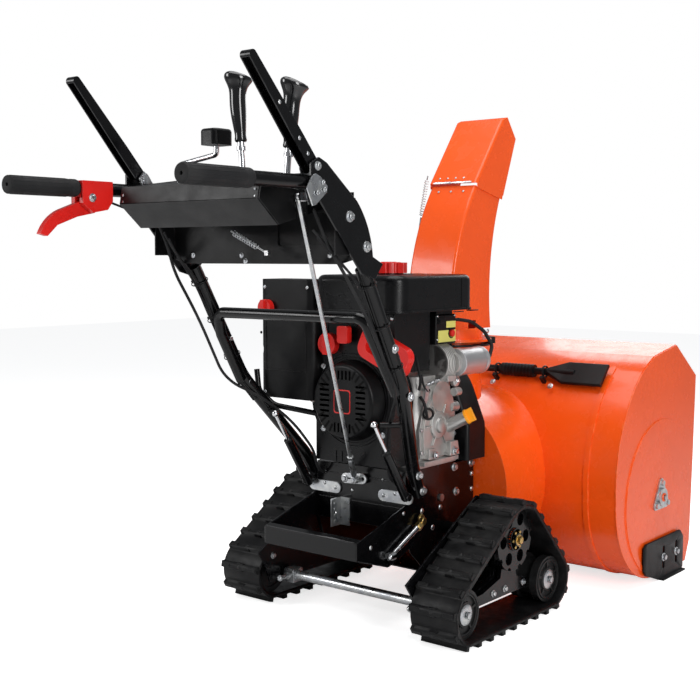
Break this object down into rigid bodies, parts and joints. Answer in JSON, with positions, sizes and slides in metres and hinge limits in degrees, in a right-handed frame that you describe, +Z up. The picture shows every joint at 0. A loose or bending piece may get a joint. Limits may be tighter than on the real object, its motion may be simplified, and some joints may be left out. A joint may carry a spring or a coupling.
{
  "type": "two stage snowblower",
  "caption": "Tracked two stage snowblower with auger housing, turning chute, engine, console and twin hand grips.",
  "frame": {"origin": "centre of the bounding box at ground level", "axes": "+X to the operator's right, +Y forward towards the auger, +Z up"},
  "size_m": [0.798, 1.569, 1.0962],
  "materials": {
    "orange_paint": "gloss powder coat",
    "orange_plastic": "gloss moulding",
    "black_paint": "gloss powder coat",
    "black_plastic": "satin moulding",
    "black_cover": "soft gloss moulding",
    "track_rubber": "matt rubber",
    "grip_rubber": "matt rubber",
    "wheel_plastic": "matt moulding",
    "red_plastic": "gloss moulding",
    "yellow_plastic": "gloss moulding",
    "cast_alloy": "die cast",
    "zinc": "zinc plated",
    "steel": "bare machined steel",
    "chrome": "polished",
    "motor_steel": "satin silver paint"
  },
  "bodies": {
    "chassis": {"auger_housing": "orange_paint", "housing_side_plates": "orange_paint", "impeller_drum": "orange_paint", "scraper_bar": "black_paint", "skid_shoes": "black_plastic", "auger_gearbox": "cast_alloy", "chute_ring": "black_plastic", "chassis_frame": "black_paint", "belt_cover": "black_plastic", "rear_tray": "black_plastic", "drive_belts": "grip_rubber", "engine_block": "cast_alloy", "engine_shroud": "black_cover", "recoil_cover": "black_plastic", "fuel_tank": "black_cover", "carburettor_cover": "black_plastic", "muffler": "black_paint", "starter_motor": "motor_steel", "starter_switch_box": "black_plastic", "starter_lead": "grip_rubber", "zinc_hardware": "zinc"},
    "impeller": {"impeller": "orange_paint", "impeller_shaft": "steel"},
    "auger": {"auger": "orange_paint"},
    "crankshaft": {"crankshaft": "steel"},
    "drive_disc": {"drive_disc": "cast_alloy"},
    "axle": {"track_axle": "steel"},
    "hex_shaft": {"hex_shaft": "steel"},
    "friction_wheel": {"friction_wheel": "steel"},
    "undercarriage": {"track_frames": "black_paint", "track_belts": "track_rubber", "track_crossbar": "zinc"},
    "front_wheels": {"front_track_wheels": "wheel_plastic"},
    "rear_wheels": {"rear_track_wheels": "wheel_plastic"},
    "chute": {"chute": "orange_paint"},
    "deflector": {"chute_deflector": "orange_paint"},
    "handle": {"handle_tubes": "black_paint", "handle_plates": "black_paint", "console": "black_plastic", "handle_grips": "grip_rubber", "trigger_bracket": "red_plastic", "control_cables": "grip_rubber"},
    "joystick_left": {"joystick_left": "black_cover"},
    "joystick_right": {"joystick_right": "black_cover"},
    "gas_cylinders": {"gas_cylinders": "black_paint"},
    "gas_rods": {"gas_rods": "chrome"},
    "lever_left": {"lever_left": "black_paint"},
    "lever_right": {"lever_right": "black_paint"},
    "trigger": {"red_trigger": "red_plastic"},
    "speed_lever": {"speed_lever": "black_plastic"},
    "speed_rod": {"speed_rod": "zinc"},
    "speed_arm": {"speed_arm": "zinc"},
    "starter_button": {"starter_button": "red_plastic"},
    "choke_knob": {"choke_knob": "red_plastic"},
    "throttle_lever": {"throttle_lever": "red_plastic"},
    "ignition_knob": {"ignition_knob": "red_plastic"},
    "recoil_grip": {"recoil_grip": "red_plastic"},
    "fuel_cap": {"fuel_cap": "red_plastic"},
    "oil_cap": {"oil_cap": "yellow_plastic"},
    "cleaning_tool": {"cleaning_tool": "black_plastic"}
  },
  "joints": [
    {"name": "impeller_spin", "type": "hinge", "parent": "chassis", "child": "impeller", "pos_m": [0, 0.262, 0.25], "axis": [0, 1, 0], "continuous": true},
    {"name": "auger_spin", "type": "hinge", "parent": "chassis", "child": "auger", "pos_m": [0, 0.585, 0.198], "axis": [1, 0, 0], "continuous": true},
    {"name": "crank_spin", "type": "hinge", "parent": "chassis", "child": "crankshaft", "pos_m": [0, 0.02, 0.466], "axis": [0, 1, 0], "continuous": true},
    {"name": "drive_disc_spin", "type": "hinge", "parent": "chassis", "child": "drive_disc", "pos_m": [0, 0.12, 0.25], "axis": [0, 1, 0], "continuous": true},
    {"name": "axle_spin", "type": "hinge", "parent": "chassis", "child": "axle", "pos_m": [0, 0.075, 0.18], "axis": [1, 0, 0], "continuous": true},
    {"name": "hex_spin", "type": "hinge", "parent": "chassis", "child": "hex_shaft", "pos_m": [0, 0.049, 0.25], "axis": [1, 0, 0], "continuous": true},
    {"name": "friction_wheel_shift", "type": "slide", "parent": "hex_shaft", "child": "friction_wheel", "axis": [1, 0, 0], "range_m": [-0.0204, 0.0402]},
    {"name": "track_tilt", "type": "hinge", "parent": "chassis", "child": "undercarriage", "pos_m": [0, 0.075, 0.18], "axis": [1, 0, 0], "range_deg": [-8, 5]},
    {"name": "front_wheel_spin", "type": "hinge", "parent": "undercarriage", "child": "front_wheels", "pos_m": [0, 0.206, 0.068], "axis": [1, 0, 0], "continuous": true},
    {"name": "rear_wheel_spin", "type": "hinge", "parent": "undercarriage", "child": "rear_wheels", "pos_m": [0, -0.119, 0.068], "axis": [1, 0, 0], "continuous": true},
    {"name": "chute_turn", "type": "hinge", "parent": "chassis", "child": "chute", "pos_m": [0, 0.255, 0.575], "axis": [0, 0, 1], "range_deg": [-100, 100]},
    {"name": "deflector_tilt", "type": "hinge", "parent": "chute", "child": "deflector", "pos_m": [0, 0.268, 0.93], "axis": [1, 0, 0], "range_deg": [-35, 0]},
    {"name": "joystick_left_swing", "type": "hinge", "parent": "handle", "child": "joystick_left", "pos_m": [0.05, -0.475, 0.85], "axis": [0, 1, 0], "range_deg": [-12.8, 12.8]},
    {"name": "joystick_right_swing", "type": "hinge", "parent": "handle", "child": "joystick_right", "pos_m": [0.146, -0.475, 0.85], "axis": [1, 0, 0], "range_deg": [-14.1, 0.1]},
    {"name": "handle_tilt", "type": "hinge", "parent": "chassis", "child": "handle", "pos_m": [0, -0.048, 0.298], "axis": [1, 0, 0], "range_deg": [-1, 6]},
    {"name": "gas_cylinder_swing", "type": "hinge", "parent": "chassis", "child": "gas_cylinders", "pos_m": [0, -0.096, 0.276], "axis": [1, 0, 0], "range_deg": [-1.1, 6.4]},
    {"name": "gas_rod_slide", "type": "slide", "parent": "gas_cylinders", "child": "gas_rods", "axis": [0, -0.5463, 0.8376], "range_m": [-0.0057, 0.0011]},
    {"name": "lever_left_press", "type": "hinge", "parent": "handle", "child": "lever_left", "pos_m": [-0.219, -0.492, 0.917], "axis": [1, 0, 0], "range_deg": [0, 45], "stiffness_Nm_per_rad": 1.2, "springref_deg": -51.57},
    {"name": "lever_right_press", "type": "hinge", "parent": "handle", "child": "lever_right", "pos_m": [0.219, -0.492, 0.917], "axis": [1, 0, 0], "range_deg": [0, 45], "stiffness_Nm_per_rad": 1.2, "springref_deg": -51.57},
    {"name": "trigger_squeeze", "type": "hinge", "parent": "handle", "child": "trigger", "pos_m": [-0.219, -0.612, 0.857], "axis": [1, 0, 0], "range_deg": [-17, 0], "stiffness_Nm_per_rad": 0.5, "springref_deg": 34.38},
    {"name": "speed_lever_shift", "type": "hinge", "parent": "handle", "child": "speed_lever", "pos_m": [0, -0.448, 0.868], "axis": [1, 0, 0], "range_deg": [-10, 20]},
    {"name": "speed_rod_slide", "type": "slide", "parent": "handle", "child": "speed_rod", "axis": [0, 0, 1], "range_m": [-0.013, 0.0066]},
    {"name": "speed_arm_swing", "type": "hinge", "parent": "chassis", "child": "speed_arm", "pos_m": [-0.034, -0.086, 0.296], "axis": [0, 1, 0], "range_deg": [-11, 21.5]},
    {"name": "starter_button_press", "type": "slide", "parent": "chassis", "child": "starter_button", "axis": [-1, 0, 0], "range_m": [0, 0.003], "stiffness_N_per_m": 400, "springref_m": -0.004},
    {"name": "choke_turn", "type": "hinge", "parent": "chassis", "child": "choke_knob", "pos_m": [-0.058, -0.12, 0.582], "axis": [0, 1, 0], "range_deg": [0, 60]},
    {"name": "throttle_swing", "type": "hinge", "parent": "chassis", "child": "throttle_lever", "pos_m": [-0.008, -0.12, 0.6], "axis": [0, 1, 0], "range_deg": [-25, 25]},
    {"name": "ignition_turn", "type": "hinge", "parent": "chassis", "child": "ignition_knob", "pos_m": [-0.216, -0.14, 0.655], "axis": [0, 1, 0], "range_deg": [0, 45]},
    {"name": "recoil_pull", "type": "slide", "parent": "chassis", "child": "recoil_grip", "axis": [0, -1, 0], "range_m": [0, 0.11], "stiffness_N_per_m": 30, "springref_m": -0.2},
    {"name": "fuel_cap_turn", "type": "hinge", "parent": "chassis", "child": "fuel_cap", "pos_m": [0.03, -0.02, 0.738], "axis": [0, 0, 1], "range_deg": [0, 90]},
    {"name": "oil_cap_turn", "type": "hinge", "parent": "chassis", "child": "oil_cap", "pos_m": [0.158, 0.086, 0.423], "axis": [0.8241, 0.3225, 0.4658], "range_deg": [0, 90]},
    {"name": "tool_lift", "type": "slide", "parent": "chassis", "child": "cleaning_tool", "axis": [0, -0.7219, 0.6919], "range_m": [0, 0.05]}
  ],
  "couplings": [
    {"joint": "auger_spin", "follows": "impeller_spin", "ratio": 0.1},
    {"joint": "drive_disc_spin", "follows": "crank_spin", "ratio": 0.58333},
    {"joint": "hex_spin", "follows": "axle_spin", "ratio": -3.1111},
    {"joint": "front_wheel_spin", "follows": "axle_spin", "ratio": 1.34},
    {"joint": "rear_wheel_spin", "follows": "axle_spin", "ratio": 1.34},
    {"joint": "joystick_left_swing", "follows": "chute_turn", "ratio": 0.125},
    {"joint": "joystick_right_swing", "follows": "deflector_tilt", "ratio": 0.4},
    {"joint": "gas_cylinder_swing", "follows": "handle_tilt", "ratio": 1.041},
    {"joint": "gas_rod_slide", "follows": "handle_tilt", "m_per_rad": -0.0522},
    {"joint": "speed_rod_slide", "follows": "speed_lever_shift", "m_per_rad": -0.036},
    {"joint": "speed_arm_swing", "follows": "speed_lever_shift", "ratio": 1.06},
    {"joint": "friction_wheel_shift", "follows": "speed_lever_shift", "m_per_rad": 0.1146}
  ]
}
